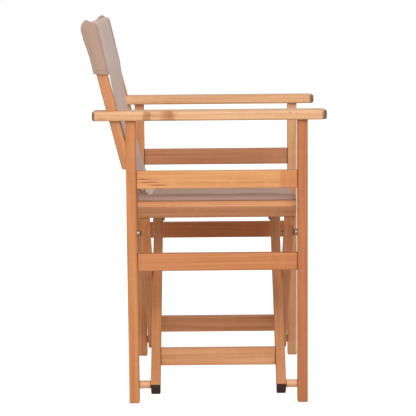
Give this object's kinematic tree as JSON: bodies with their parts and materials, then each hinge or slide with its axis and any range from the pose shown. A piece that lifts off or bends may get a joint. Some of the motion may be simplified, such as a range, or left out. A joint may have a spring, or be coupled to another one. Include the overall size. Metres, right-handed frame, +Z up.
{
  "type": "folding armchair",
  "caption": "Wooden folding armchair with a canvas sling seat and back; crossed boards fold the two side frames together.",
  "frame": {"origin": "on the floor, at the bottom centre of the whole chair's box with the chair open", "axes": "+X towards the front of the seat, +Y towards the sitter's left, +Z up"},
  "size_m": [0.5272, 0.505, 0.836],
  "materials": {
    "oiled_wood": "oiled hardwood, satin, straight grain with small knots",
    "pale_wood": "turned pale hardwood, bare",
    "canvas": "taupe plain-weave canvas with a coated back, matt",
    "steel": "zinc-plated steel, dulled",
    "rubber": "black moulded rubber, matt"
  },
  "bodies": {
    "right_side_frame": {"right_front_leg": "oiled_wood", "right_rear_leg": "oiled_wood", "right_armrest": "oiled_wood", "right_upper_rail": "oiled_wood", "right_lower_rail": "oiled_wood", "right_back_post": "oiled_wood", "right_post_screws": "steel", "right_frame_dowels": "pale_wood", "right_pivot_bolts": "steel", "right_pivot_nuts": "steel", "right_pivot_spacers": "pale_wood", "right_link_screws": "steel", "right_back_sleeve": "canvas", "back_panel": "canvas"},
    "inner_boards": {"inner_front_board": "oiled_wood", "inner_rear_board": "oiled_wood", "inner_stretcher": "oiled_wood", "inner_rubber_feet": "rubber", "inner_link_bolts": "steel", "left_seat_rail": "oiled_wood", "left_seat_rail_dowels": "pale_wood", "left_hem_rod": "steel", "centre_bolts": "steel", "centre_nuts": "steel", "centre_washers": "steel", "seat_sling": "canvas"},
    "outer_boards": {"outer_front_board": "oiled_wood", "outer_rear_board": "oiled_wood", "outer_stretcher": "oiled_wood", "outer_rubber_feet": "rubber", "outer_link_bolts": "steel", "right_seat_rail": "oiled_wood", "right_seat_rail_dowels": "pale_wood", "right_hem_rod": "steel"},
    "left_side_frame": {"left_front_leg": "oiled_wood", "left_rear_leg": "oiled_wood", "left_armrest": "oiled_wood", "left_upper_rail": "oiled_wood", "left_lower_rail": "oiled_wood", "left_back_post": "oiled_wood", "left_post_screws": "steel", "left_frame_dowels": "pale_wood", "left_pivot_bolts": "steel", "left_pivot_nuts": "steel", "left_pivot_spacers": "steel", "left_link_screws": "steel", "left_back_sleeve": "canvas", "left_link_spacers": "pale_wood"},
    "right_side_links": {"right_links": "steel"},
    "left_side_links": {"left_links": "steel"}
  },
  "joints": [
    {"name": "fold", "type": "hinge", "parent": "right_side_frame", "child": "inner_boards", "pos_m": [0, -0.2225, 0.039], "axis": [1, 0, 0], "range_deg": [0, 33], "deforming": ["seat_sling", "back_panel"]},
    {"name": "centre_pivot", "type": "hinge", "parent": "inner_boards", "child": "outer_boards", "pos_m": [0, 0, 0.25387], "axis": [1, 0, 0], "range_deg": [-66, 0]},
    {"name": "left_lower_pivot", "type": "hinge", "parent": "outer_boards", "child": "left_side_frame", "pos_m": [0, 0.2225, 0.039], "axis": [1, 0, 0], "range_deg": [0, 33]},
    {"name": "right_link_pivot", "type": "hinge", "parent": "right_side_frame", "child": "right_side_links", "pos_m": [0, -0.2225, 0.3773], "axis": [1, 0, 0], "range_deg": [0, 81.8]},
    {"name": "left_link_pivot", "type": "hinge", "parent": "left_side_frame", "child": "left_side_links", "pos_m": [0, 0.2225, 0.3773], "axis": [1, 0, 0], "range_deg": [-81.8, 0]}
  ],
  "couplings": [
    {"joint": "centre_pivot", "follows": "fold", "ratio": -2},
    {"joint": "left_lower_pivot", "follows": "fold", "ratio": 1},
    {"joint": "right_link_pivot", "follows": "fold", "ratio": 2.4651},
    {"joint": "left_link_pivot", "follows": "fold", "ratio": -2.4651}
  ]
}
